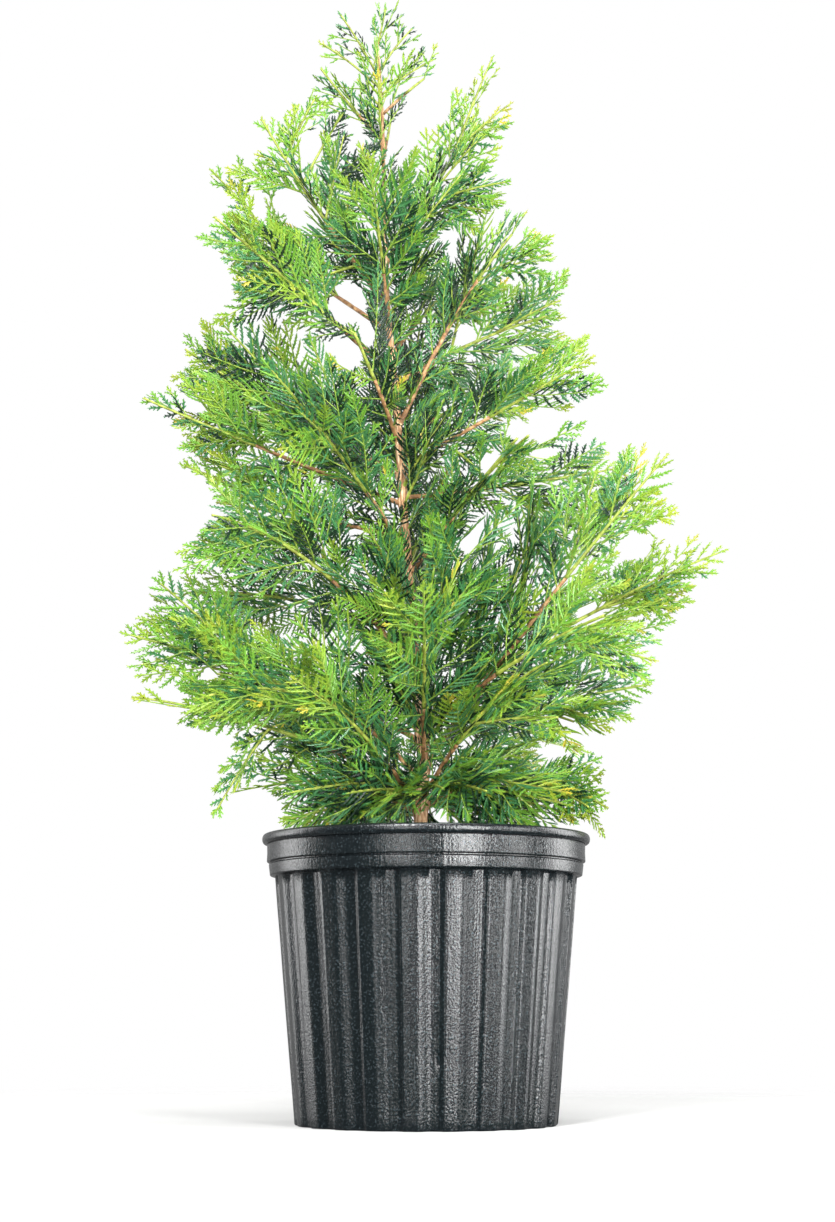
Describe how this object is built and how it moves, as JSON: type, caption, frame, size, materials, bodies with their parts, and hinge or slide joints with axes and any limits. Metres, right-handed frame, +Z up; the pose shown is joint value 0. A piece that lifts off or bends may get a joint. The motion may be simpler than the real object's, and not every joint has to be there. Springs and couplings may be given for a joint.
{
  "type": "potted thuja",
  "caption": "Young evergreen thuja shrub with a slender trunk, rising boughs and flat feathery sprays, standing in a fluted black nursery pot filled with potting mix.",
  "frame": {"origin": "centre of the pot's flat underside", "axes": "+Z up, +X to the right of the pictured front, -Y towards the viewer"},
  "size_m": [0.5296, 0.4583, 1],
  "materials": {
    "pot_plastic": "satin black blow-moulded plastic with fine vertical drag lines",
    "potting_mix": "loose, damp, dark red-brown bark mix with white perlite",
    "bark": "rough, fibrous orange-brown bark",
    "young_bark": "smooth young bark, brown at the trunk to yellow-green outwards",
    "scale_leaves": "satin scale leaves in flat sprays, yellow-green tips and deeper green inside"
  },
  "bodies": {
    "root": {"back_high_left_sprays": "scale_leaves", "back_high_right_sprays": "scale_leaves", "back_low_left_sprays": "scale_leaves", "back_low_right_sprays": "scale_leaves", "back_low_sprays": "scale_leaves", "back_mid_left_bough": "young_bark", "back_mid_left_sprays": "scale_leaves", "back_mid_right_sprays": "scale_leaves", "crown_back_sprays": "scale_leaves", "crown_front_sprays": "scale_leaves", "crown_left_sprays": "scale_leaves", "crown_right_sprays": "scale_leaves", "front_centre_sprays": "scale_leaves", "front_high_left_sprays": "scale_leaves", "front_high_sprays": "scale_leaves", "front_left_rise_bough": "young_bark", "front_left_rise_sprays": "scale_leaves", "front_low_left_sprays": "scale_leaves", "front_low_right_sprays": "scale_leaves", "front_low_sprays": "scale_leaves", "front_mid_left_sprays": "scale_leaves", "front_mid_right_sprays": "scale_leaves", "leader_sprays": "scale_leaves", "left_high_sprays": "scale_leaves", "left_level_bough": "young_bark", "left_level_sprays": "scale_leaves", "left_long_bough": "young_bark", "left_long_sprays": "scale_leaves", "left_low_bough": "young_bark", "left_low_sprays": "scale_leaves", "left_mid_bough": "young_bark", "left_mid_sprays": "scale_leaves", "left_shoulder_sprays": "scale_leaves", "left_skirt_sprays": "scale_leaves", "left_upper_low_sprays": "scale_leaves", "left_wide_bough": "young_bark", "left_wide_low_sprays": "scale_leaves", "left_wide_sprays": "scale_leaves", "lower_right_bough": "young_bark", "lower_right_sprays": "scale_leaves", "pot": "pot_plastic", "potting_mix": "potting_mix", "rear_stem_bough": "young_bark", "rear_stem_sprays": "scale_leaves", "right_far_sprays": "scale_leaves", "right_fork_bough": "young_bark", "right_fork_sprays": "scale_leaves", "right_high_sprays": "scale_leaves", "right_level_bough": "young_bark", "right_level_sprays": "scale_leaves", "right_low_sprays": "scale_leaves", "right_mid_bough": "young_bark", "right_mid_sprays": "scale_leaves", "right_skirt_sprays": "scale_leaves", "right_wide_sprays": "scale_leaves", "trunk": "bark", "upper_left_bough": "young_bark", "upper_left_sprays": "scale_leaves", "upper_right_bough": "young_bark", "upper_right_sprays": "scale_leaves"}
  },
  "joints": []
}
